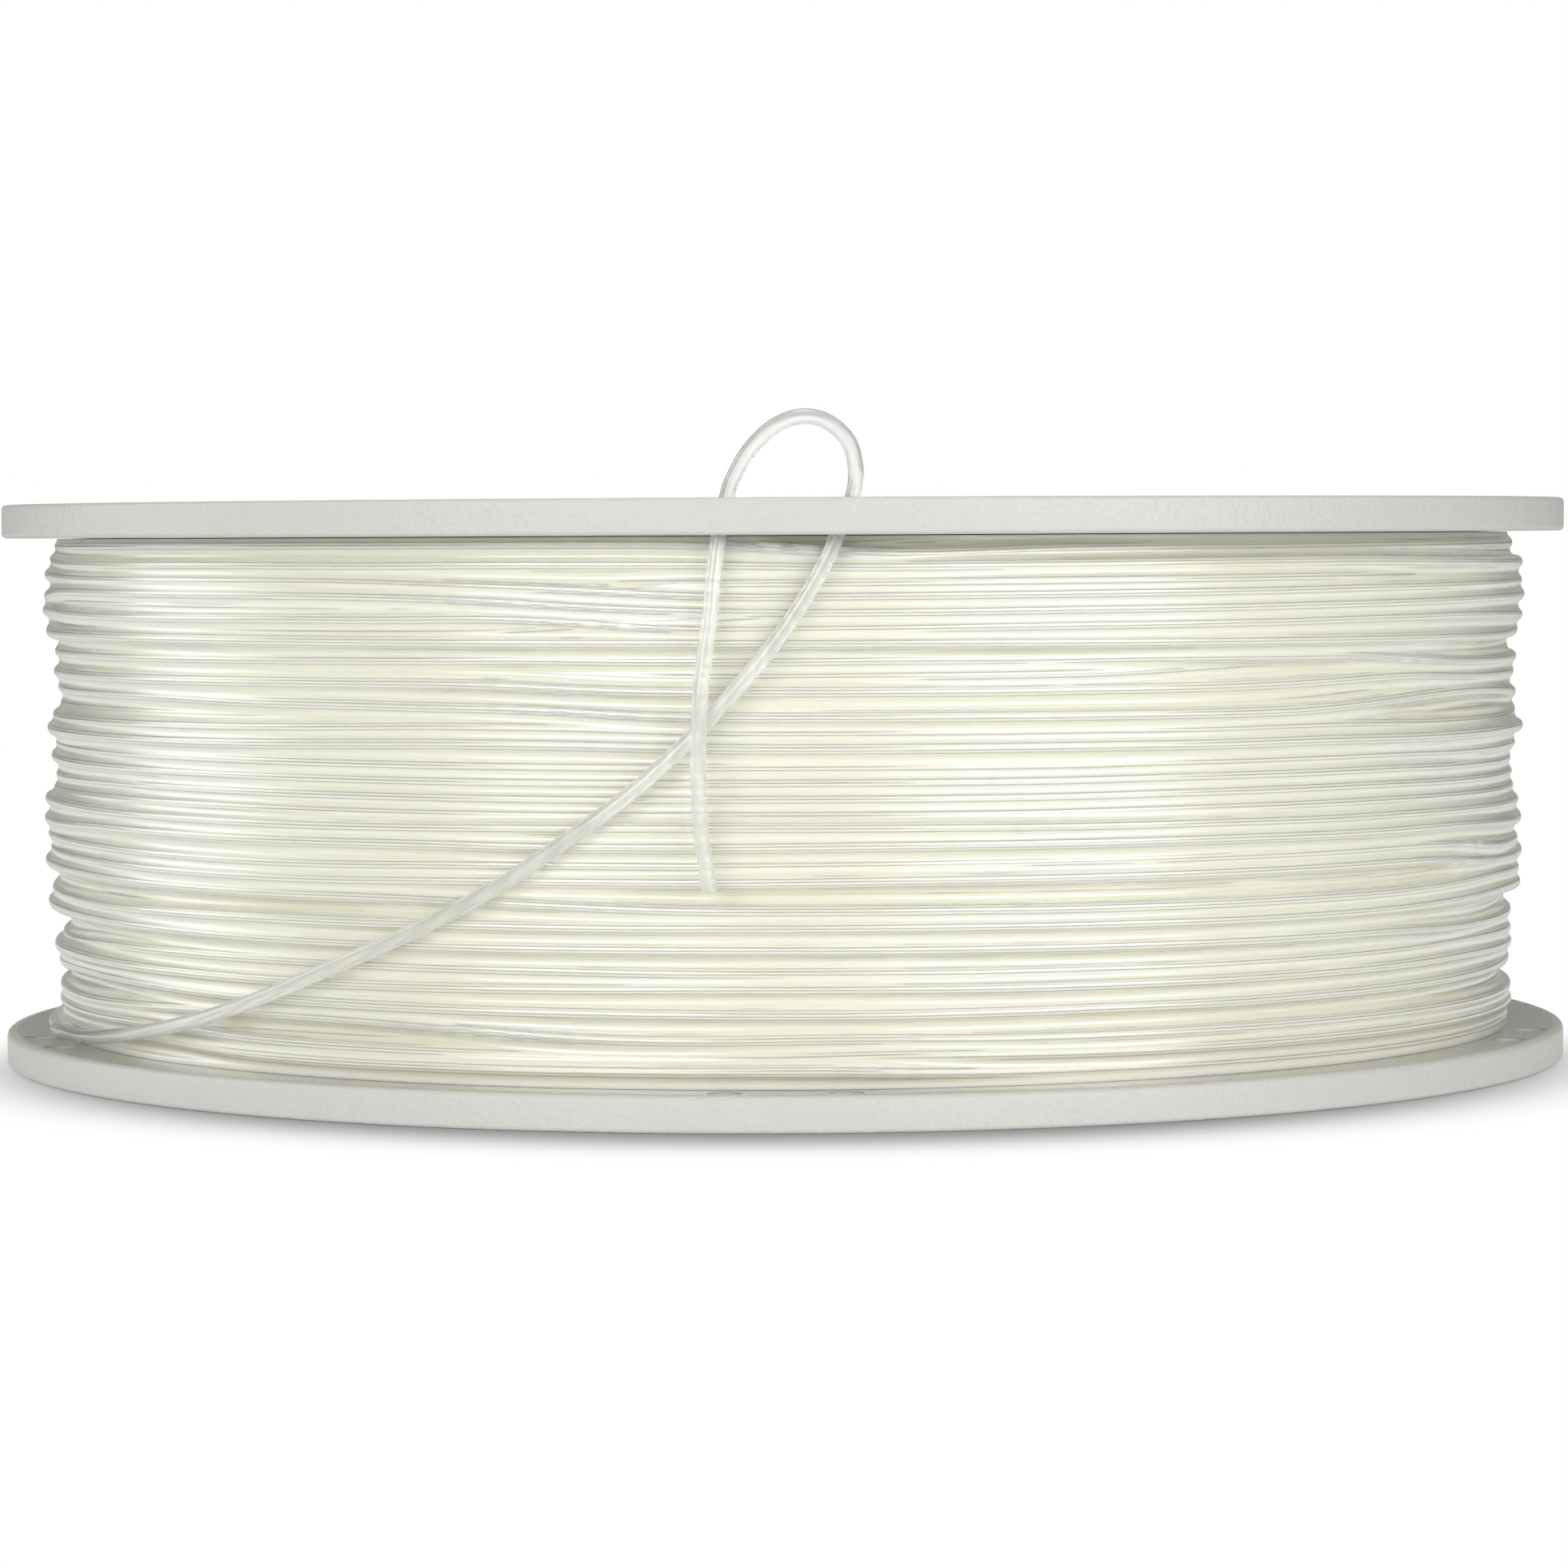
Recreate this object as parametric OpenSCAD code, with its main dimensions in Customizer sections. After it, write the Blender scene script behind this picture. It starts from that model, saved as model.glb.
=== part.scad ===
// Filament spool for 3-D printing, lying on its lower flange with its axis on Z.
// Two flanges of the same moulding snap onto a ribbed drum. One strand of filament is
// wound on the drum, and its free end is parked through two holes in the upper flange.

/* [Spool] */
// Diameter of the flanges
spool_d = 200; // [165:1:240]
// Width over both flanges
spool_w = 71; // [56:1:90]
// Diameter of the spindle hole
bore_d = 52; // [40:0.5:63]
// Outside diameter of the drum
drum_d = 110; // [90:1:132]
// Wall of the drum's barrel and of its arbor tube
drum_wall = 2.5; // [1.8:0.1:3.5]
// Thickness of the webs between the arbor tube and the barrel
drum_web_t = 1.8; // [1.2:0.1:3]
// Height at each end of the drum that its webs leave to the flanges' spigots
drum_end_room = 14; // [12:0.5:18]

/* [Flanges] */
// Thickness of a flange at its rim and at its hub
rim_h = 4.2; // [3.6:0.1:6]
// Thickness of a flange's web
web_t = 2.4; // [1.6:0.1:3.2]
// Width of the raised lip at the rim
lip_w = 1.4; // [1.2:0.1:1.6]
// Rounding of the rim's outer edges
edge_r = 0.6; // [0.2:0.1:0.8]
// Width of the raised ring round the spindle hole
hub_ring_w = 5; // [3:0.5:8]
// Number of spokes, and of sight windows, hooks and drive holes
spokes = 5; // [4:1:6]
// Thickness of the ribs and of the raised frames on the outer face
rib_t = 1.4; // [1:0.1:2]
// Step from the rim's outer face down to the ribs
rib_step = 0.3; // [0.1:0.1:0.6]
// Angle from the middle of a spoke to each of its two ribs
rib_spread = 7.2; // [7:0.1:9]
// Width of a sight window, along the radius
window_w = 16; // [8:0.5:18]
// Angle between the centres of a sight window's round ends
window_arc = 34; // [10:1:40]
// Number of gauge marks beside a sight window
gauge_marks = 5; // [3:1:7]
// Width of a gauge mark
gauge_mark_w = 0.8; // [0.6:0.1:1.2]
// Diameter of the drive holes
drive_hole_d = 10; // [5:0.5:11]
// Diameter of the ejector pins' marks on the spokes
pin_mark_d = 5; // [3:0.5:6]
// Depth of those marks
pin_mark_depth = 0.2; // [0.1:0.1:0.4]

/* [Snap fit] */
// Gap between the drum and what locates it on a flange
fit_gap = 0.1; // [0.05:0.05:0.3]
// Height of the spigot that enters the drum's barrel
spigot_h = 12; // [11:0.5:12]
// Wall of the spigot and of the collar round the arbor tube
spigot_wall = 2; // [1.5:0.1:2.5]
// Height of the collar and of the gussets
collar_h = 8; // [4:0.5:11]
// Width of a snap hook, along the spigot
hook_w = 9; // [6:0.5:12]
// Distance that a hook's barb stands out from the spigot
barb = 1.8; // [1:0.1:2.2]
// Height of the barb's catching face over the flange
catch_h = 6; // [4:0.5:7]
// Width of the slots that free a hook from the spigot
hook_slot = 2; // [1:0.5:3]
// Gap between a barb and its window in the drum
catch_gap = 0.3; // [0.1:0.1:0.5]

/* [Parking holes] */
// Diameter of the holes that hold the filament's free end
park_hole_d = 4; // [3:0.1:4]
// Distance from the flange's edge to the centre of a parking hole
park_edge = 3.6; // [3.6:0.1:4]
// Angle from the middle of a spoke to each of its two parking holes
park_spread = 4.1; // [3.5:0.1:4.5]
// Wall round a parking hole
park_wall = 1.2; // [0.8:0.1:1.4]

/* [Filament] */
// Diameter of the filament
filament_d = 1.75; // [1.4:0.05:2.1]
// Turns in the outer layer
layer_turns = 23.5; // [12:0.5:24]
// Distance from the flange's edge to the wound filament
wind_margin = 5.2; // [5:0.1:30]
// Gap between the wound filament and the flanges
wind_gap = 0.3; // [0.1:0.1:1]
// Gap between the drum and the inner layers, and between those and the outer layer
pack_gap = 0.1; // [0.05:0.05:0.3]
// Height of the hole in the drum that holds the filament's inner end
anchor_h = 24; // [20:1:26]
// Diameter of that hole
anchor_hole_d = 2.6; // [2.2:0.1:4]

/* [Hidden] */

$fn = 72;
small_fn = 20;
eps = 0.01;
spool_r = spool_d / 2;
bore_r = bore_d / 2;
drum_r = drum_d / 2;
filament_r = filament_d / 2;

// Heights of the flanges' inner faces, and the clear width between them
lower_face = rim_h;
upper_face = spool_w - rim_h;
inner_w = upper_face - lower_face;

// Radii of the flange's features, from the spindle hole outwards
arbor_r = bore_r + drum_wall;
collar_r = arbor_r + fit_gap;
spigot_r = drum_r - drum_wall - fit_gap;
drive_r = (collar_r + spigot_wall + spigot_r - spigot_wall) / 2;
window_r = (drum_r + spool_r - wind_margin) / 2;
park_r = spool_r - park_edge;
lip_r = spool_r - lip_w;
recess = rim_h - web_t;
spoke_step = 360 / spokes;
first_spoke = 270;
barb_h = 4;

// A gauge mark lies between a window's frame and the next spoke's rib
gauge_mark_l = 3;
gauge_angle = spoke_step / 2 - rib_spread - 2.5;

// The outer layer is a helix that runs down anticlockwise and ends low on the left
loop_rings = 24;
layer_r = spool_r - wind_margin - filament_r;
layer_top = upper_face - wind_gap - filament_r;
layer_foot = lower_face + wind_gap + filament_r;
layer_pitch = (layer_top - layer_foot) / layer_turns;
layer_end_angle = 193;
layer_count = round(layer_turns * loop_rings);
layer_sides = 6;
cord_sides = 8;

// A loop's straight stretches cut the corner inwards, so the inner layers stay below them
pack_r = (layer_r - filament_r) * cos(180 / loop_rings) - pack_gap;
pack_bore_r = drum_r + pack_gap;

// Free end over the winding: [angle, distance out from the outer layer, share of inner_w]
leg_route = [
    [199, 0.15, 0.02], [203, 0.45, 0.023], [207, 0.95, 0.03], [211, 1.5, 0.04], [215, 1.9, 0.053],
    [220, 2, 0.074], [226, 2, 0.11], [232, 2, 0.16], [238, 2, 0.22], [244, 2, 0.285],
    [250, 2, 0.365], [255, 2, 0.45], [259.5, 2, 0.535], [263.5, 2.05, 0.63], [266.5, 2.1, 0.715],
    [269.2, 2.2, 0.8], [271.4, 2.35, 0.885], [272.9, 2.45, 0.955], [273.7, 2.5, 1.005],
];
// Free end over the upper flange: [angle, distance out from the parking circle, height over it]
loop_route = [
    [274.7, 0, 0.2], [274.85, 0.2, 3.4], [274.3, 0.4, 6.4], [272.8, 0.5, 8.6], [271, 0.5, 9],
    [269.2, 0.4, 7.6], [267.7, 0.3, 5], [266.7, 0.1, 2], [266.3, 0, 0],
];
// Free end hanging down: [angle, distance out from the parking circle, share of inner_w]
tail_route = [
    [265.75, 0.1, 1], [265.4, 0.45, 0.93], [265.2, 0.9, 0.86], [264.8, 1.3, 0.78], [264.5, 1.5, 0.7],
    [264.4, 1.5, 0.62], [264.4, 1.35, 0.54], [264.5, 1.1, 0.47], [264.8, 0.8, 0.41], [265, 0.5, 0.365],
];
route_steps = 2;

// Inner end through the drum's wall: [depth in from the inner layers, distance sideways]
anchor_route = [[0, 0], [2, 0], [3.6, 0.3], [5.2, 1.6], [6.4, 3.8], [7.2, 7], [7.8, 11], [8.2, 15]];
anchor_angle = 60;

plastic_colour = [0.86, 0.86, 0.84];
drum_colour = [0.8, 0.8, 0.78];
inner_filament_colour = [0.86, 0.87, 0.76];
filament_colour = [0.93, 0.94, 0.86];

// Unit vector along v
function unit(v) = v / norm(v);

// Point at an angle, a radius and a height
function polar(angle, r, z) = [r * cos(angle), r * sin(angle), z];

// Point at share t of the way from b to c, on a smooth curve through a, b, c and d
function blend(a, b, c, d, t) =
    b + t / 2 * (c - a + t * (2 * a - 5 * b + 4 * c - d + t * (3 * (b - c) + d - a)));

// Points along a smooth curve through the route
function smooth(route) = let (last = len(route) - 1) [
    for (i = [0 : last - 1], s = [0 : route_steps - 1])
        blend(route[max(i - 1, 0)], route[i], route[i + 1], route[min(i + 2, last)], s / route_steps),
    route[last],
];

// Ring of the outer layer, counted back from its lower end
function layer_point(ring) =
    polar(layer_end_angle - ring * 360 / loop_rings, layer_r, layer_foot + layer_pitch * ring / loop_rings);

// The helix, with a straight stretch of one filament diameter at each end
layer_turns_points = [for (ring = [layer_count : -1 : 0]) layer_point(ring)];
layer_start_way = unit(layer_point(layer_count) - layer_point(layer_count - 1));
layer_end_way = unit(layer_point(0) - layer_point(1));
layer_points = concat(
    [layer_point(layer_count) + filament_d * layer_start_way],
    layer_turns_points,
    [layer_point(0) + filament_d * layer_end_way]
);

// Least gap between one loop of the outer layer and the next
loop_gaps = [
    for (i = [0 : len(layer_points) - 1], j = [i + loop_rings / 2 : i + loop_rings * 3 / 2])
        if (j < len(layer_points)) norm(layer_points[i] - layer_points[j])
];
echo(least_gap_of_outer_layer = min(loop_gaps) - filament_d);

// The free end starts on the face where the outer layer stops
free_end_start = layer_points[len(layer_points) - 1];
free_end_points = smooth(concat(
    [free_end_start, free_end_start + filament_d * layer_end_way],
    [for (p = leg_route) polar(p[0], layer_r + p[1], lower_face + p[2] * inner_w)],
    [for (p = loop_route) polar(p[0], park_r + p[1], spool_w + p[2])],
    [for (p = tail_route) polar(p[0], park_r + p[1], lower_face + p[2] * inner_w)]
));
free_end_steps = [
    for (i = [1 : len(free_end_points) - 1]) norm(free_end_points[i] - free_end_points[i - 1])
];
echo(rings_of_free_end = len(free_end_points));
echo(length_of_free_end = free_end_steps * [for (s = free_end_steps) 1]);

anchor_points = [
    for (p = smooth(anchor_route)) [pack_bore_r - p[0], p[1], lower_face + anchor_h]
];

// Ring with a bore, on Z
module ring(outer_r, inner_r, height) {
    difference() {
        cylinder(r = outer_r, h = height);
        translate([0, 0, -1]) cylinder(r = inner_r, h = height + 2);
    }
}

// Repeats its children on every spoke, turned by a part of the step between spokes
module on_spokes(turn = 0) {
    for (i = [0 : spokes - 1])
        rotate([0, 0, first_spoke + (i + turn) * spoke_step]) children();
}

// Slot along an arc about Z, with round ends
module arc_slot(width, height) {
    rotate([0, 0, -window_arc / 2]) rotate_extrude(angle = window_arc)
        translate([window_r - width / 2, 0]) square([width, height]);
    for (end = [-1, 1])
        rotate([0, 0, end * window_arc / 2]) translate([window_r, 0, 0])
            cylinder(d = width, h = height, $fn = small_fn);
}

// Half of the flange's section: web, rim with rounded edges, hub ring and ring over the drum
module flange_section() {
    translate([bore_r, recess]) square([spool_r - edge_r - bore_r, web_t]);
    translate([lip_r, 0]) square([lip_w - edge_r, rim_h]);
    translate([lip_r, edge_r]) square([lip_w, rim_h - 2 * edge_r]);
    for (z = [edge_r, rim_h - edge_r])
        translate([spool_r - edge_r, z]) circle(r = edge_r, $fn = small_fn);
    translate([bore_r, 0]) square([hub_ring_w, recess + eps]);
    translate([drum_r - rib_t, rib_step]) square([2 * rib_t, recess - rib_step + eps]);
}

// Marks beside a sight window, from its inner to its outer edge
module window_gauge(height) {
    for (i = [0 : gauge_marks - 1])
        rotate([0, 0, gauge_angle])
            translate([window_r + window_w * (i / (gauge_marks - 1) - 0.5), 0, height / 2])
                cube([gauge_mark_w, gauge_mark_l, height], center = true);
}

// Marks that two ejector pins leave on a spoke
module pin_marks() {
    inner_room = drum_r - rib_t - bore_r - hub_ring_w;
    for (r = [bore_r + hub_ring_w + inner_room / 2, window_r])
        translate([r, 0, 0])
            cylinder(d = min(pin_mark_d, inner_room - 1), h = recess + pin_mark_depth, $fn = small_fn);
}

// Ribs, window frames, gauge marks and bosses in the recess of the outer face
module flange_ribs() {
    rib_h = recess - rib_step + eps;
    translate([0, 0, rib_step]) {
        on_spokes() {
            for (side = [-1, 1]) {
                rotate([0, 0, side * rib_spread])
                    translate([bore_r + hub_ring_w - eps, -rib_t / 2, 0])
                        cube([lip_r - bore_r - hub_ring_w + 2 * eps, rib_t, rib_h]);
                rotate([0, 0, side * park_spread])
                    translate([park_r, 0, 0])
                        cylinder(d = park_hole_d + 2 * park_wall, h = rib_h, $fn = small_fn);
            }
        }
        on_spokes(0.5) {
            arc_slot(window_w + 2 * rib_t, rib_h);
            window_gauge(rib_h);
            translate([drive_r, 0, 0])
                cylinder(d = drive_hole_d + 2 * rib_t, h = rib_h, $fn = small_fn);
        }
    }
}

// Spigot in the barrel, collar round the arbor tube, and the gussets between them
module flange_spigot() {
    difference() {
        translate([0, 0, rim_h - eps]) ring(spigot_r, spigot_r - spigot_wall, spigot_h + eps);
        on_spokes(0.5)
            for (side = [-1, 1])
                translate([0, side * (hook_w + hook_slot) / 2 - hook_slot / 2, rim_h + 1])
                    cube([drum_r, hook_slot, spigot_h]);
    }
    translate([0, 0, rim_h - eps]) ring(collar_r + spigot_wall, collar_r, collar_h + eps);
    on_spokes()
        translate([collar_r + eps, -rib_t / 2, rim_h - eps])
            cube([spigot_r - spigot_wall / 2 - collar_r, rib_t, collar_h + eps]);
}

// Barb of a snap hook: flat below, where it catches, and sloping above
module barb_of_hook() {
    hook_arc = 2 * asin(hook_w / 2 / spigot_r);
    rotate([0, 0, -hook_arc / 2]) rotate_extrude(angle = hook_arc)
        polygon([
            [spigot_r - spigot_wall / 2, rim_h + catch_h],
            [spigot_r + barb, rim_h + catch_h],
            [spigot_r + barb, rim_h + catch_h + 1],
            [spigot_r, rim_h + catch_h + barb_h],
            [spigot_r - spigot_wall / 2, rim_h + catch_h + barb_h],
        ]);
}

// One flange, with its outer face on z = 0
module flange() {
    difference() {
        union() {
            rotate_extrude() flange_section();
            flange_ribs();
        }
        on_spokes(0.5) {
            translate([0, 0, -1]) arc_slot(window_w, rim_h + 2);
            translate([drive_r, 0, -1]) cylinder(d = drive_hole_d, h = rim_h + 2, $fn = small_fn);
        }
        on_spokes() {
            pin_marks();
            for (side = [-1, 1])
                rotate([0, 0, side * park_spread])
                    translate([park_r, 0, -1])
                        cylinder(d = park_hole_d, h = rim_h + 2, $fn = small_fn);
        }
    }
    flange_spigot();
    on_spokes(0.5) barb_of_hook();
}

// Lower flange, which the spool stands on
module lower_flange() {
    color(plastic_colour) flange();
}

// Upper flange: the same moulding, turned over with its spokes in line
module upper_flange() {
    color(plastic_colour) translate([0, 0, spool_w]) mirror([0, 0, 1]) flange();
}

// Window in the barrel for a barb
module hook_window() {
    window = hook_w + 2 * catch_gap;
    translate([drum_r - 2 * drum_wall, -window / 2, catch_h - catch_gap])
        cube([3 * drum_wall, window, barb_h + 2 * catch_gap]);
}

// Drum: barrel and arbor tube joined by radial webs, with windows for the hooks
module drum() {
    color(drum_colour) translate([0, 0, lower_face]) difference() {
        union() {
            ring(drum_r, drum_r - drum_wall, inner_w);
            ring(arbor_r, bore_r, inner_w);
            on_spokes()
                translate([bore_r + drum_wall / 2, -drum_web_t / 2, drum_end_room])
                    cube([drum_r - bore_r - drum_wall, drum_web_t, inner_w - 2 * drum_end_room]);
        }
        on_spokes(0.5) {
            hook_window();
            translate([0, 0, inner_w]) mirror([0, 0, 1]) hook_window();
        }
        rotate([0, 0, anchor_angle]) translate([drum_r - 2 * drum_wall, 0, anchor_h])
            rotate([0, 90, 0]) cylinder(d = anchor_hole_d, h = 3 * drum_wall, $fn = small_fn);
    }
}

// Closed tube with a ring at each point: a ring's first corner points away from the
// Z axis, or up where the tube lies flat
module tube(points, sides, flat = false) {
    last = len(points) - 1;
    corners = [
        for (i = [0 : last])
            let (
                along = unit(points[min(i + 1, last)] - points[max(i - 1, 0)]),
                away = flat ? [0, 0, 1] : [points[i].x, points[i].y, 0],
                sideways = unit(cross(along, away)),
                upright = cross(sideways, along)
            )
            for (k = [0 : sides - 1])
                points[i] + filament_r * (cos(360 * k / sides) * upright + sin(360 * k / sides) * sideways)
    ];
    walls = [
        for (i = [0 : last - 1], k = [0 : sides - 1])
            let (a = i * sides + k, b = i * sides + (k + 1) % sides)
            each [[a, b, a + sides], [b, b + sides, a + sides]]
    ];
    caps = [
        for (k = [1 : sides - 2])
            each [[0, k + 1, k], [last * sides, last * sides + k, last * sides + k + 1]]
    ];
    polyhedron(points = corners, faces = concat(walls, caps));
}

// Inner layers, wound solid on the drum
module filament_inner_layers() {
    color(inner_filament_colour) translate([0, 0, lower_face + wind_gap])
        ring(pack_r, pack_bore_r, inner_w - 2 * wind_gap);
}

// Inner end, bent over behind its hole in the barrel
module filament_inner_end() {
    color(filament_colour) rotate([0, 0, anchor_angle]) tube(anchor_points, cord_sides, flat = true);
}

// Outer layer, wound in one helix
module filament_outer_layer() {
    color(filament_colour) tube(layer_points, layer_sides);
}

// Free end: up over the winding, through both parking holes and down in front
module filament_free_end() {
    color(filament_colour) tube(free_end_points, cord_sides);
}

lower_flange();
upper_flange();
drum();
filament_inner_layers();
filament_inner_end();
filament_outer_layer();
filament_free_end();
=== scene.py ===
from math import cos, pi, radians, sin

import bpy
import numpy as np
from mathutils import Matrix, Vector


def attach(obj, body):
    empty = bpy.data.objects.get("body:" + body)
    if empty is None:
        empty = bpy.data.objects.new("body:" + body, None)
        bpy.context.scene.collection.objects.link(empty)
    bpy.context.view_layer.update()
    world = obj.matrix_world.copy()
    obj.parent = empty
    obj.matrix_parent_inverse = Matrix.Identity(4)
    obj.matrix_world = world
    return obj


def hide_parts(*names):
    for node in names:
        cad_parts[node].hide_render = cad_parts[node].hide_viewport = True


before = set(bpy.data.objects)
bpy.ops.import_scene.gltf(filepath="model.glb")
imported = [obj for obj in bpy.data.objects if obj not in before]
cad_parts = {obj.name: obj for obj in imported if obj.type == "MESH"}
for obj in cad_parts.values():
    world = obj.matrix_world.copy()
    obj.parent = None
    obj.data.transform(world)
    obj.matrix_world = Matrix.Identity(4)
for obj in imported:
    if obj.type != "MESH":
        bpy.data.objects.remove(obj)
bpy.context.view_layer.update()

# ---------------------------------------------------------------- camera
# A long lens a little above the spool's middle, about 0.7 m in front of its axis,
# tipped down by less than three degrees.
CAMERA_PLACE = (0, -0.70375, 0.06723)
CAMERA_PITCH = 0.0465     # downwards, in radians
CAMERA_ROLL = -0.0052
LENS_MM, SENSOR_MM = 124.79, 36

scene = bpy.context.scene
scene.view_settings.view_transform = "Standard"

camera_data = bpy.data.cameras.new("camera")
camera_data.sensor_width = SENSOR_MM
camera_data.lens = LENS_MM
camera_data.clip_start = 0.01
camera = bpy.data.objects.new("camera", camera_data)
camera.location = CAMERA_PLACE
camera.rotation_euler = (
    Matrix.Rotation(pi / 2 - CAMERA_PITCH, 3, "X") @ Matrix.Rotation(CAMERA_ROLL, 3, "Z")
).to_euler()
scene.collection.objects.link(camera)
scene.camera = camera

# ---------------------------------------------------------------- free end of the filament
# The last 0.23 m of the strand, extruded plastic 1.75 mm thick and nearly clear by itself. It
# leaves the winding low on the left, climbs over it, goes up and down again through two parking
# holes in the upper flange and hangs down in front, cut off square.
MM = 0.001
FILAMENT_D = 1.75
FILAMENT_R = FILAMENT_D / 2
LAYER_R = 93.925          # radius of the outer layer's centreline
PARK_R = 96.4             # radius of the parking holes' circle
SPOOL_W = 71
LOWER_FACE = 4.2          # inner faces of the flanges
UPPER_FACE = SPOOL_W - LOWER_FACE
INNER_W = UPPER_FACE - LOWER_FACE
EXIT_ANGLE = 193
EXIT_Z = 5.375

# Over the winding: angle, distance out from the outer layer, share of the width
LEG_ROUTE = [
    (199, 0.15, 0.02), (203, 0.45, 0.023), (207, 0.95, 0.03), (211, 1.5, 0.04),
    (215, 1.9, 0.053), (220, 2, 0.074), (226, 2, 0.11), (232, 2, 0.16), (238, 2, 0.22),
    (244, 2, 0.285), (250, 2, 0.365), (255, 2, 0.45), (259.5, 2, 0.535), (263.5, 2.05, 0.63),
    (266.5, 2.1, 0.715), (269.2, 2.2, 0.8), (271.4, 2.35, 0.885), (272.9, 2.45, 0.955),
    (273.7, 2.5, 1.005),
]
# Over the upper flange: angle, distance out from the parking circle, height over the flange
LOOP_ROUTE = [
    (274.7, 0, 0.2), (274.85, 0.2, 3.4), (274.3, 0.4, 6.4), (272.8, 0.5, 8.55),
    (271, 0.5, 8.94), (269.2, 0.4, 7.6), (267.7, 0.3, 5), (266.7, 0.1, 2), (266.3, 0, 0),
]
# Hanging down: angle, distance out from the parking circle, share of the width
TAIL_ROUTE = [
    (265.75, 0.1, 1), (265.4, 0.45, 0.93), (265.2, 0.9, 0.86), (264.8, 1.3, 0.78),
    (264.5, 1.5, 0.7), (264.4, 1.5, 0.62), (264.4, 1.35, 0.54), (264.5, 1.1, 0.47),
    (264.8, 0.8, 0.41), (265, 0.5, 0.365),
]
ROUTE_STEPS = 10
HELIX_PITCH = 60.25 / 23.5    # rise of the CAD model's outer layer over its turns
HELIX_STEP = 15           # degrees between the rings of the CAD model's outer layer


def polar(angle, r, z):
    """Point at an angle in degrees, a radius and a height."""
    return np.array([r * cos(radians(angle)), r * sin(radians(angle)), z])


def smooth_route(points):
    """Points of a smooth curve through the given ones, ROUTE_STEPS to a stretch."""
    last, curve = len(points) - 1, []
    for i in range(last):
        a, b, c, d = (points[min(max(k, 0), last)] for k in (i - 1, i, i + 1, i + 2))
        for t in np.arange(ROUTE_STEPS) / ROUTE_STEPS:
            bend = 2 * a - 5 * b + 4 * c - d + t * (3 * (b - c) + d - a)
            curve.append(b + t / 2 * (c - a + t * bend))
    return np.array(curve + [points[last]])


def strand(name, points, sides=12):
    """One stretch of filament as a curve along points in millimetres."""
    curve = bpy.data.curves.new(name, "CURVE")
    curve.dimensions = "3D"
    curve.bevel_depth = FILAMENT_R * MM
    curve.bevel_resolution = sides // 2 - 2
    curve.use_fill_caps = True
    line = curve.splines.new("POLY")
    line.points.add(len(points) - 1)
    places = np.column_stack([np.array(points) * MM, np.ones(len(points))])
    line.points.foreach_set("co", places.ravel())
    piece = bpy.data.objects.new(name, curve)
    scene.collection.objects.link(piece)
    return piece


helix_end = polar(EXIT_ANGLE, LAYER_R, EXIT_Z)
helix_rise = HELIX_PITCH * HELIX_STEP / 360
helix_way = helix_end - polar(EXIT_ANGLE - HELIX_STEP, LAYER_R, EXIT_Z + helix_rise)
helix_way /= np.linalg.norm(helix_way)
free_start = helix_end + FILAMENT_D * helix_way
free_route = smooth_route(
    [free_start, free_start + FILAMENT_D * helix_way]
    + [polar(a, LAYER_R + out, LOWER_FACE + share * INNER_W) for a, out, share in LEG_ROUTE]
    + [polar(a, PARK_R + out, SPOOL_W + up) for a, out, up in LOOP_ROUTE]
    + [polar(a, PARK_R + out, LOWER_FACE + share * INNER_W) for a, out, share in TAIL_ROUTE]
)
free_end = strand("filament_free_end_clear", free_route, sides=32)


class Wire:
    """An output socket of a node, with arithmetic that adds Math nodes."""

    def __init__(self, finish, socket):
        self.finish, self.socket = finish, socket

    def maths(self, operation, *values):
        return self.finish.node("Math", {"operation": operation}, dict(enumerate(values)))

    def beside(self, output):
        """Another output of the same node."""
        return Wire(self.finish, self.socket.node.outputs[output])

    def __add__(self, other):
        return self.maths("ADD", self, other)

    def __mul__(self, other):
        return self.maths("MULTIPLY", self, other)

    def __sub__(self, other):
        return self.maths("SUBTRACT", self, other)

    def __rsub__(self, other):
        return self.maths("SUBTRACT", other, self)

    def __pow__(self, other):
        return self.maths("POWER", self, other)

    def __gt__(self, other):
        return self.maths("GREATER_THAN", self, other)

    def __lt__(self, other):
        return self.maths("LESS_THAN", self, other)

    __radd__, __rmul__ = __add__, __mul__


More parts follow.
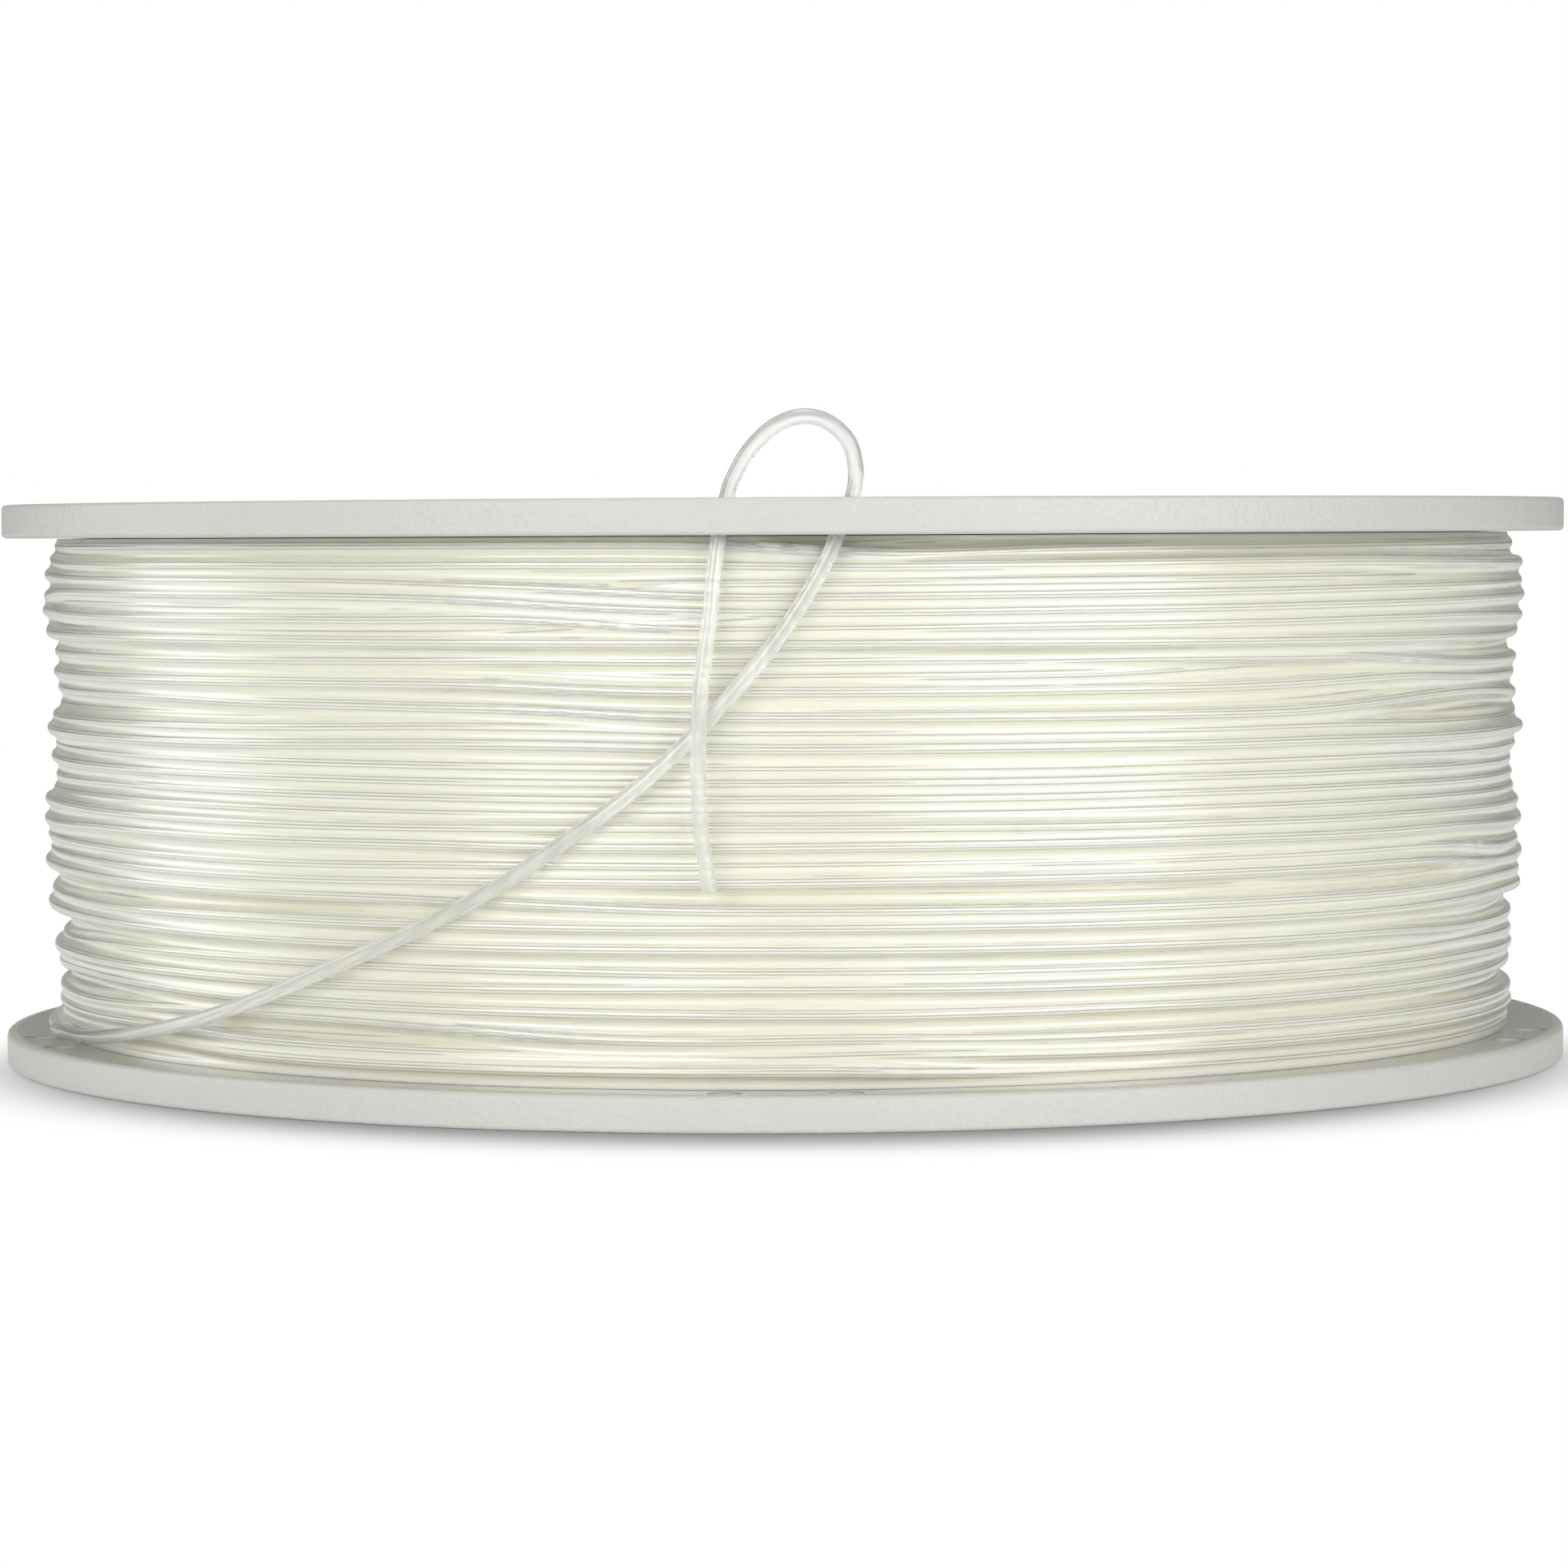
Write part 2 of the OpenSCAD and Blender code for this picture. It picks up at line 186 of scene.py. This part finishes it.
class Finish:
    """A material, or a world, made of nodes that are added one at a time."""

    def __init__(self, name, kind="Material"):
        self.kind = kind
        self.made = getattr(bpy.data, kind.lower() + "s").new(name)
        self.made.use_nodes = True
        self.tree = self.made.node_tree
        self.tree.nodes.clear()

    def node(self, kind, settings=(), sockets=(), out=0):
        """Adds a node: its settings first, then the values or links of its sockets."""
        node = self.tree.nodes.new("ShaderNode" + kind)
        for key, value in dict(settings).items():
            setattr(node, key, value)
        for key, value in dict(sockets).items():
            if isinstance(value, Wire):
                self.tree.links.new(value.socket, node.inputs[key])
            elif isinstance(value, tuple) and node.inputs[key].type == "RGBA":
                node.inputs[key].default_value = (*value, 1)
            else:
                node.inputs[key].default_value = value
        return Wire(self, node.outputs[out])

    def place(self):
        """Object coordinates, in metres."""
        return self.node("TexCoord", out="Object")

    def noise(self, place, scale, detail=2.0, stretch=(1, 1, 1)):
        spread = self.node("Mapping", {}, {"Vector": place, "Scale": stretch})
        return self.node("TexNoise", {}, {"Vector": spread, "Scale": scale, "Detail": detail})

    def between(self, amount, low, high):
        """Colour between low and high."""
        return self.node("Mix", {"data_type": "RGBA"}, {"Factor": amount, 6: low, 7: high}, out=2)

    def blend(self, amount, low, high):
        """Number between low and high."""
        return self.node("Mix", {}, {0: amount, 2: low, 3: high})

    def rise(self, value, start, end):
        """Goes smoothly from 0 to 1 as value goes from start to end."""
        return self.node("MapRange", {"interpolation_type": "SMOOTHSTEP"},
                         {"Value": value, "From Min": start, "From Max": end})

    def radius_and_height(self, place):
        """Distance from the Z axis, and height."""
        x = self.node("SeparateXYZ", {}, {0: place})
        y, z = x.beside(1), x.beside(2)
        return (x * x + y * y) ** 0.5, z

    def surface(self, shader):
        end = self.tree.nodes.new("ShaderNodeOutput" + self.kind)
        self.tree.links.new(shader.socket, end.inputs["Surface"])


# Nearly clear plastic with a polished skin: what lies behind shows through only blurred
clear = Finish("clear_filament")
place = clear.place()
waves = clear.noise(place, 250, 2)
clear_bump = clear.node("Bump", {}, {"Strength": 0.1, "Distance": 0.00003, "Height": waves})
clear.surface(clear.node("BsdfPrincipled", {}, {
    "Base Color": clear.between(waves, (0.95, 0.95, 0.91), (0.985, 0.985, 0.96)),
    "Roughness": 0.1 + waves * 0.1,
    "Transmission Weight": 0.8,
    "Subsurface Weight": 1.0,
    "Subsurface Radius": (1.0, 1.0, 0.9),
    "Subsurface Scale": 0.0004,
    "Coat Weight": 0.5,
    "Coat Roughness": 0.06,
    "IOR": 1.5,
    "Normal": clear_bump,
}))
free_end.data.materials.append(clear.made)
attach(free_end, "root")
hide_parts("filament_free_end")

# ---------------------------------------------------------------- winding
# The same strand, wound under tension from flange to flange and back. Each turn lies where
# the turns below leave it room, slips into their grooves and climbs over their crossings.
# The last layer's step is uneven, so the one below shows in its gaps.
SLICES = 144              # stretches in one turn
HALF = SLICES // 2
Z_LOW, Z_HIGH = 5.2, 65.8
OVERLAP = 12              # slices of the last half turn that are evened out with the next
STRAIGHT_DIP = 0.177      # how far a taut strand can dip between slices, in mm
TAUT_PASSES = 60
SLIPS = np.linspace(-1.2, 1.2, 21)
SLIP_COST, TURN_COST = 0.12, 2.0

# Radius of what the shown layers are wound on: height, radius
CORE_PROFILE = [(4, 88.6), (9, 88.2), (17, 88.4), (24, 89.4), (31, 89.3), (37, 88.3), (48, 88.2),
                (56, 88.9), (61, 90.0), (67, 90.1)]
# Crossings farther in lift or sink the turns: spacing and height of these humps
HUMP_STEP, HUMP = 1.9, 0.55
hump_z = np.arange(4, 68, HUMP_STEP)
humps = np.random.default_rng(5).uniform(-HUMP, HUMP, len(hump_z))


def core_radius(z):
    """Radius of the layers below, at a height."""
    return np.interp(z, *np.array(CORE_PROFILE).T) + np.interp(z, hump_z, humps)


def traverse(rng, pitches, upwards):
    """Heights at each slice of a layer that is laid with the given step at each turn."""
    ends = np.concatenate([[0], np.cumsum(pitches)])
    ends *= (Z_HIGH - Z_LOW) / ends[-1]
    early = rng.uniform(-0.25, 0.25, len(ends) - 2)
    knots = np.arange(len(ends)) + np.concatenate([[0], early, [0]])
    turns = np.arange(len(pitches) * SLICES) / SLICES
    way = np.interp(turns, knots, ends)
    return Z_LOW + way if upwards else Z_HIGH - way


def best_slips(rest_r, start):
    """Cheapest run of slips: low down, near its guide and with no sharp sideways turn."""
    step_cost = TURN_COST * (SLIPS[:, None] - SLIPS[None, :]) ** 2
    total = step_cost[:, np.abs(SLIPS - start).argmin()]
    came_from = []
    for row in rest_r + SLIP_COST * SLIPS ** 2:
        ways = total[None, :] + step_cost
        came_from.append(ways.argmin(1))
        total = ways.min(1) + row
    state, path = total.argmin(), []
    for back in reversed(came_from):
        path.append(state)
        state = back[state]
    return SLIPS[path[::-1]]


def soften(values, times):
    """Evens out a run of numbers, keeping its ends."""
    for _ in range(times):
        middle = (values[:-2] + 2 * values[1:-1] + values[2:]) / 4
        values = np.concatenate([values[:1], middle, values[-1:]])
    return values


def rest_radius(z, laid_z, laid_r):
    """Radius at which a strand at height z rests on the core and on the turns laid already."""
    across = z[..., None] - laid_z[:, None, :]
    gap = FILAMENT_D ** 2 - across ** 2
    on_turns = np.where(gap > 0, laid_r[:, None, :] + np.sqrt(np.maximum(gap, 0)), 0)
    return np.maximum(on_turns.max(-1), core_radius(z) + FILAMENT_R)


def wind(guide):
    """Radius and height of every slice of a strand that follows guide."""
    count = len(guide)
    turns = -(-count // SLICES)
    laid_z = np.full((SLICES, turns + 1), -99.0)
    laid_r = np.zeros((SLICES, turns + 1))
    z, r, slip = np.zeros(count), np.zeros(count), 0.0
    for first in range(0, count, HALF):
        here = np.arange(first, min(first + HALF, count))
        rows = here % SLICES
        tries = np.clip(guide[here, None] + SLIPS, Z_LOW, Z_HIGH)
        slips = best_slips(rest_radius(tries, laid_z[rows], laid_r[rows]), slip)
        slip = slips[-1]
        z[here] = np.clip(guide[here] + slips, Z_LOW, Z_HIGH)
        done = np.arange(max(0, first - OVERLAP), here[-1] + 1)
        z[done] = soften(z[done], 3)
        r[here] = rest_radius(z[here, None], laid_z[rows], laid_r[rows])[:, 0]
        lowest, taut = r[done], r[done]
        for _ in range(TAUT_PASSES):
            middle = np.maximum(lowest[1:-1], (taut[:-2] + taut[2:] - STRAIGHT_DIP) / 2)
            taut = np.concatenate([taut[:1], middle, taut[-1:]])
        r[done] = soften(taut, 2)
        laid_z[done % SLICES, done // SLICES] = z[done]
        laid_r[done % SLICES, done // SLICES] = r[done]
    return z, r


rng = np.random.default_rng(17)
layer_pitches = [
    1.8 + rng.normal(0, 0.05, 33),
    1.85 + rng.normal(0, 0.16, 32).clip(-0.1, 0.5),
    rng.choice([1.8, 1.9, 2.1, 2.7, 3.6], 28, p=[0.30, 0.24, 0.18, 0.16, 0.12]),
]
layer_pitches[2][-3:] = 2.0
guides = [traverse(rng, pitches, upwards)
          for pitches, upwards in zip(layer_pitches, (False, True, False))]
guide = np.concatenate(guides)
turn_z, turn_r = wind(guide)

# The tallest crossings are squeezed down, most of all under the free end
EASE = 0.6
TALLEST = 94.0            # radius of a centreline under the free end
turn_angle = EXIT_ANGLE - (len(guide) - 1 - np.arange(len(guide))) * 360 / SLICES
most = TALLEST + np.interp(turn_angle % 360, (185, 196, 275, 286), (0.55, 0, 0, 0.55))
over = np.maximum(turn_r - most + EASE, 0)
turn_r -= over - EASE * (1 - np.exp(-over / EASE))

# The last turn runs into the free end
FADE = 22                 # slices
fade = np.clip((np.arange(len(guide)) - len(guide) + 1 + FADE) / FADE, 0, 1)
fade = fade * fade * (3 - 2 * fade)
turn_z += fade * (EXIT_Z - turn_z[-1])
turn_r += fade * (LAYER_R - turn_r[-1])
turned = np.radians(turn_angle)
winding_route = np.column_stack([turn_r * np.cos(turned), turn_r * np.sin(turned), turn_z])
winding_route = np.vstack([winding_route, free_start])


def made_mesh(piece):
    """Turns a curve object into a mesh object."""
    bpy.ops.object.select_all(action="DESELECT")
    piece.select_set(True)
    bpy.context.view_layer.objects.active = piece
    bpy.ops.object.convert(target="MESH")
    return bpy.context.view_layer.objects.active


def filament_finish(name, low, high, roughness):
    """Cloudy plastic: drawn streaks run along the strand, and light goes in a little way."""
    finish = Finish(name)
    place = finish.place()
    streaks = finish.noise(place, 28, 3, (1, 1, 60))
    cloud = finish.noise(place, 22, 2)
    fine = finish.noise(place, 1400, 2)
    bump = finish.node("Bump", {}, {"Strength": 0.1, "Distance": 0.00003, "Height": fine})
    finish.surface(finish.node("BsdfPrincipled", {}, {
        "Base Color": finish.between(streaks * 0.7 + cloud * 0.3, low, high),
        "Roughness": roughness + streaks * 0.14,
        "Subsurface Weight": 1.0,
        "Subsurface Radius": (1.0, 1.0, 0.8),
        "Subsurface Scale": 0.0008,
        "Specular IOR Level": 1.0,
        "Coat Weight": 1.0,
        "Coat Roughness": 0.26,
        "IOR": 1.5,
        "Normal": bump,
    }))
    return finish.made


wound = filament_finish("wound_filament", (0.755, 0.75, 0.59), (0.9, 0.897, 0.84), 0.14)
# The core shows only in the grooves; its darker, more olive colour is painted crease shade.
crease_shade_finish = filament_finish("filament_painted_crease_shade", (0.755, 0.745, 0.57), (0.89, 0.885, 0.81), 0.18)

layer_ends = np.cumsum([0] + [len(g) for g in guides])
layer_names = ("winding_second_layer", "winding_outer_layer")
for name, first, last in zip(layer_names, layer_ends[1:], layer_ends[2:]):
    layer = made_mesh(strand(name, winding_route[first:last + 1], 14))
    layer.data.materials.append(wound)
    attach(layer, "root")
    if name == "winding_outer_layer":
        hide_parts("filament_outer_layer")

# ---------------------------------------------------------------- inner layers
# Some twenty layers below, of which only the turns at the flanges ever show, through the
# sight windows. These are wound as flat spirals, two deep, against a packed core.
DRUM_R = 55
SPIRAL_START, SPIRAL_END = DRUM_R + 1.1, 87.4     # radius
SPIRAL_STEP = 1.62
SPIRAL_POINTS = 96        # to a turn
ROW_STEP, ROW_SHIFT = 1.45, 0.8
SIDE_GAP = 0.3            # between the turns and the flange


def flat_spiral(name, height, first_r, seed):
    """Turns that lie against a flange, from the drum outwards."""
    noise = np.random.default_rng(seed)
    count = int((SPIRAL_END - first_r) / SPIRAL_STEP * SPIRAL_POINTS)
    turn = np.arange(count) / SPIRAL_POINTS
    knots = np.arange(0, turn[-1] + 1, 0.23)
    wander = np.interp(turn, knots, noise.uniform(0, 0.35, len(knots)))
    inwards = 1 if height < SPOOL_W / 2 else -1
    r, z = first_r + SPIRAL_STEP * turn, height + inwards * wander
    angle = 2 * pi * turn
    return strand(name, np.column_stack([r * np.cos(angle), r * np.sin(angle), z]), 8)


for side, face, way in (("lower", LOWER_FACE, 1), ("upper", UPPER_FACE, -1)):
    for row in range(2):
        height = face + way * (SIDE_GAP + FILAMENT_R + ROW_STEP * row)
        name = f"side_turns_{side}_{row + 1}"
        spiral = made_mesh(flat_spiral(name, height, SPIRAL_START + ROW_SHIFT * row, 31 + row))
        spiral.data.materials.append(wound)
        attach(spiral, "root")

# Cloudy strands pass light on, so their grooves look shallow. The core's outside fills them so
# far that a ball of FILL_R rolled over the turns would touch it everywhere.
FILL_R = 0.72
SKIN_STEP = 0.105         # height between the core's rings
SKIN_BELOW = 0.008        # how far the fill stays under the turns' crests
COLLAR_R = 92.9           # where the core meets the flanges
COLLAR_FROM = (29.3, 30.6)    # height from the middle: where the collar starts and is full
SKIN_FROM, SKIN_TO = 4.22, 66.79
# The core's ends lie behind the side turns, with the collar round them
END_R = np.array([DRUM_R + 0.15, 88.2, 88.2])
END_Z = np.array([5.7, 5.7, SKIN_FROM])
skin_z = np.arange(SKIN_FROM, SKIN_TO, SKIN_STEP)
reach = np.arange(-int(FILL_R / SKIN_STEP), int(FILL_R / SKIN_STEP) + 1)
ball = np.sqrt(FILL_R ** 2 - (reach * SKIN_STEP) ** 2)
collar = np.interp(abs(skin_z - SPOOL_W / 2), COLLAR_FROM, (0, COLLAR_R))


def pressed(profile, sign):
    """Profile of the ball's far side as the ball is rolled along: outside if sign is 1."""
    padded = np.pad(profile * sign, len(reach) // 2, mode="edge")
    runs = [padded[k:k + len(profile)] + ball[k] for k in range(len(reach))]
    return np.max(runs, axis=0) * sign


skin_r = []
for row in range(SLICES):
    across = skin_z[:, None] - turn_z[row::SLICES]
    up = np.sqrt(np.maximum(FILAMENT_R ** 2 - across ** 2, 0))
    crest = np.where(abs(across) < FILAMENT_R, turn_r[row::SLICES] + up, 0).max(1)
    crest = np.maximum(crest, np.maximum(core_radius(skin_z), collar))
    skin_r.append(pressed(pressed(crest, 1), -1) - SKIN_BELOW)
end_rings = np.tile(END_R, (SLICES, 1))
rings = np.column_stack([end_rings, skin_r, end_rings[:, ::-1]])
heights = np.concatenate([END_Z, skin_z, SPOOL_W - END_Z[::-1]])
last_ring = len(heights) - 1

# A grid, closed to a tube: its X goes round, its Y from end to end
bpy.ops.object.select_all(action="DESELECT")
bpy.ops.mesh.primitive_grid_add(x_subdivisions=SLICES, y_subdivisions=last_ring, size=1)
core = bpy.context.object
core.name = "inner_layers_core"
grid = np.array([vertex.co[:2] for vertex in core.data.vertices]) + 0.5
way_round = np.rint(grid[:, 0] * SLICES).astype(int) % SLICES
ring = np.rint(grid[:, 1] * last_ring).astype(int)
turned = np.radians(turn_angle[0] + way_round * 360 / SLICES)
r = rings[way_round, ring]
core_points = np.column_stack([r * np.cos(turned), r * np.sin(turned), heights[ring]]) * MM
core.data.vertices.foreach_set("co", core_points.ravel())
bpy.ops.object.mode_set(mode="EDIT")
bpy.ops.mesh.select_all(action="SELECT")
bpy.ops.mesh.remove_doubles(threshold=1e-7)
bpy.ops.mesh.delete_loose()
bpy.ops.mesh.select_all(action="SELECT")
bpy.ops.mesh.normals_make_consistent(inside=False)
bpy.ops.object.mode_set(mode="OBJECT")
bpy.ops.object.shade_smooth_by_angle(angle=radians(60))
# Painted crease shade: the core gets the darker, more olive copy of the filament colour.
core.data.materials.append(crease_shade_finish)
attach(core, "root")
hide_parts("filament_inner_layers")

# ---------------------------------------------------------------- inner end
# Where the strand starts. It was pushed through a small hole in the drum and bent over inside
# before the first turn, so the winding holds it.
ANCHOR_ANGLE = 60
ANCHOR_Z = LOWER_FACE + 24
# Distance in from the drum's face, and sideways
ANCHOR_ROUTE = [
    (0, 0), (2, 0), (3.6, 0.3), (5.2, 1.6), (6.4, 3.8), (7.2, 7), (7.8, 11), (8.2, 15)]
anchor_way = polar(ANCHOR_ANGLE, 1, 0)
anchor_side = polar(ANCHOR_ANGLE + 90, 1, 0)
anchor_start = polar(ANCHOR_ANGLE, DRUM_R + 0.1, ANCHOR_Z)
anchor_points = [anchor_start - depth * anchor_way + side * anchor_side
                 for depth, side in ANCHOR_ROUTE]
inner_end = made_mesh(strand("filament_inner_end_bent", smooth_route(anchor_points), 12))
inner_end.data.materials.append(wound)
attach(inner_end, "root")
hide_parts("filament_inner_end")

# ---------------------------------------------------------------- flanges
# Two equal mouldings in light grey plastic, snapped onto the drum's ends. The rim has a fine
# spark-eroded grain, and the inner face is polished, so that it mirrors the winding.
CREASE = radians(32)
RIM_FROM = 0.0988         # radius in metres


def moulded_copy(node, name, material):
    """The CAD node's mesh in one piece, smooth up to its sharp edges."""
    bpy.ops.object.select_all(action="DESELECT")
    piece = bpy.data.objects.new(name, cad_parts[node].data.copy())
    scene.collection.objects.link(piece)
    piece.select_set(True)
    bpy.context.view_layer.objects.active = piece
    bpy.ops.object.mode_set(mode="EDIT")
    bpy.ops.mesh.select_all(action="SELECT")
    bpy.ops.mesh.remove_doubles(threshold=2e-6)
    bpy.ops.object.mode_set(mode="OBJECT")
    bpy.ops.mesh.customdata_custom_splitnormals_clear()
    bpy.ops.object.shade_smooth_by_angle(angle=CREASE)
    piece.data.materials.clear()
    piece.data.materials.append(material)
    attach(piece, "root")
    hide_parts(node)
    return piece


moulded = Finish("flange_plastic")
place = moulded.place()
radius, height = moulded.radius_and_height(place)
height = height - SPOOL_W / 2 * MM
from_middle = height.maths("ABSOLUTE", height)
inside = (from_middle < (INNER_W / 2 + 0.15) * MM) * (radius < RIM_FROM)
rim = radius > RIM_FROM
grain = moulded.noise(place, 1500, 3)
mottle = moulded.noise(place, 300, 3)
bump = moulded.node("Bump", {}, {
    "Strength": 0.1 + rim * 0.8, "Distance": 0.00016, "Height": grain})
speckle = mottle * 0.5 + grain * 0.5
outside_colour = moulded.between(speckle, (0.52, 0.52, 0.485), (0.585, 0.585, 0.55))
# The inner faces are the same plastic as the rim; their darker, yellower colour is painted shade.
inside_painted_shade = moulded.between(mottle, (0.38, 0.375, 0.33), (0.42, 0.415, 0.37))
moulded.surface(moulded.node("BsdfPrincipled", {}, {
    "Base Color": moulded.between(inside, outside_colour, inside_painted_shade),
    "Roughness": 0.36 + mottle * 0.1 - inside * 0.24,
    "IOR": 1.5,
    "Normal": bump,
}))
moulded_copy("lower_flange", "lower_flange_moulding", moulded.made)
moulded_copy("upper_flange", "upper_flange_moulding", moulded.made)

# ---------------------------------------------------------------- drum
# Barrel, arbor tube and webs in one moulding of the same plastic, satin all over. It carries
# the winding and stays hidden but for the tube, seen through the spindle hole.
satin = Finish("drum_plastic")
place = satin.place()
mottle = satin.noise(place, 250, 3)
grain = satin.noise(place, 2200, 2)
bump = satin.node("Bump", {}, {"Strength": 0.12, "Distance": 0.0001, "Height": grain})
satin.surface(satin.node("BsdfPrincipled", {}, {
    "Base Color": satin.between(mottle, (0.64, 0.64, 0.61), (0.70, 0.70, 0.67)),
    "Roughness": 0.38 + mottle * 0.1,
    "IOR": 1.5,
    "Normal": bump,
}))
moulded_copy("drum", "drum_moulding", satin.made)

# ---------------------------------------------------------------- floor, backdrop and lights
# A white table under a white sky. The table keeps the object's real shadow, and for the camera
# a painted shadow darkens it in a soft edge round the spool, and farther out it is pure white.
SHADE_SHIFT = 0.015       # metres towards the front
SHADE_IN, SHADE_FULL, SHADE_OUT = 0.06, 0.085, 0.115
bpy.ops.object.select_all(action="DESELECT")
bpy.ops.mesh.primitive_plane_add(size=8, location=(0, 0, 0))
floor = bpy.context.object
floor.name = "floor"
paper = Finish("white_table")
seen = paper.node("LightPath", out="Is Camera Ray")
nearer = paper.node("Mapping", {}, {"Vector": paper.place(), "Location": (0, SHADE_SHIFT, 0)})
radius, _ = paper.radius_and_height(nearer)
away = paper.rise(radius, SHADE_FULL, SHADE_OUT)
# Painted contact shadow: for camera rays the table's colour turns dark in a soft ring round the
# spool.
painted_shadow = seen * (1 - away) * (radius > SHADE_IN)
table = paper.node("BsdfDiffuse", {}, {
    "Color": paper.between(painted_shadow, (0.86, 0.87, 0.88), (0.37, 0.375, 0.39))})
glow = paper.node("Emission", {}, {"Color": (1, 1, 1), "Strength": 1.0})
paper.surface(paper.node("MixShader", {}, {0: seen * away, 1: table, 2: glow}))
floor.data.materials.append(paper.made)

# The sky is white for the camera and level for diffuse rays. Mirrored and bent rays find it
# bright behind and overhead and dim at the sides, which gives the gloss its shape.
SKY_LEVEL = 0.45
GLOSS_SKY, SIDE_GLOOM = 0.3, 0.12
BENT_GLOOM = 0.72
BEHIND_FROM, BEHIND_FULL = 0.86, 0.97
ABOVE_FROM, ABOVE_FULL = 0.5, 0.85
sky = Finish("sky", "World")
direct = sky.node("LightPath", out="Is Camera Ray")
glossy, bent = direct.beside("Is Glossy Ray"), direct.beside("Is Transmission Ray")
way = sky.node("SeparateXYZ", {}, {0: sky.node("TexCoord", out="Generated")})
behind = sky.rise(way.beside(1), BEHIND_FROM, BEHIND_FULL)
above = sky.rise(way.beside(2), ABOVE_FROM, ABOVE_FULL)
lit = above.maths("MAXIMUM", behind, above)
level = sky.blend(glossy, SKY_LEVEL, sky.blend(lit, SIDE_GLOOM, 1.0) * GLOSS_SKY)
level = sky.blend(bent, level, sky.blend(lit, BENT_GLOOM, 1.0))
level = sky.blend(direct, level, 1.0)
sky.surface(sky.node("Background", {}, {"Color": (1, 1, 1), "Strength": level}))
scene.world = sky.made


def soft_box(name, azimuth, elevation, distance, width, height, power):
    """Area light that looks at the spool's middle."""
    lamp = bpy.data.lights.new(name, "AREA")
    lamp.shape, lamp.size, lamp.size_y, lamp.energy = "RECTANGLE", width, height, power
    holder = bpy.data.objects.new(name, lamp)
    a, e = radians(azimuth), radians(elevation)
    way = Vector((sin(a) * cos(e), -cos(a) * cos(e), sin(e)))
    holder.location = Vector((0, 0, 0.035)) + way * distance
    holder.rotation_euler = (-way).to_track_quat("-Z", "Y").to_euler()
    scene.collection.objects.link(holder)


# Two wide soft boxes in front, one at the left side and a small one overhead
soft_box("left_soft_box", -28, 15, 1.2, 0.75, 0.55, 5.1)
soft_box("right_soft_box", 39, 15, 1.2, 0.9, 0.55, 6.7)
soft_box("side_soft_box", -100, 12, 1.0, 0.5, 0.8, 2.6)
soft_box("top_soft_box", 0, 88, 1.0, 0.4, 0.4, 1.7)
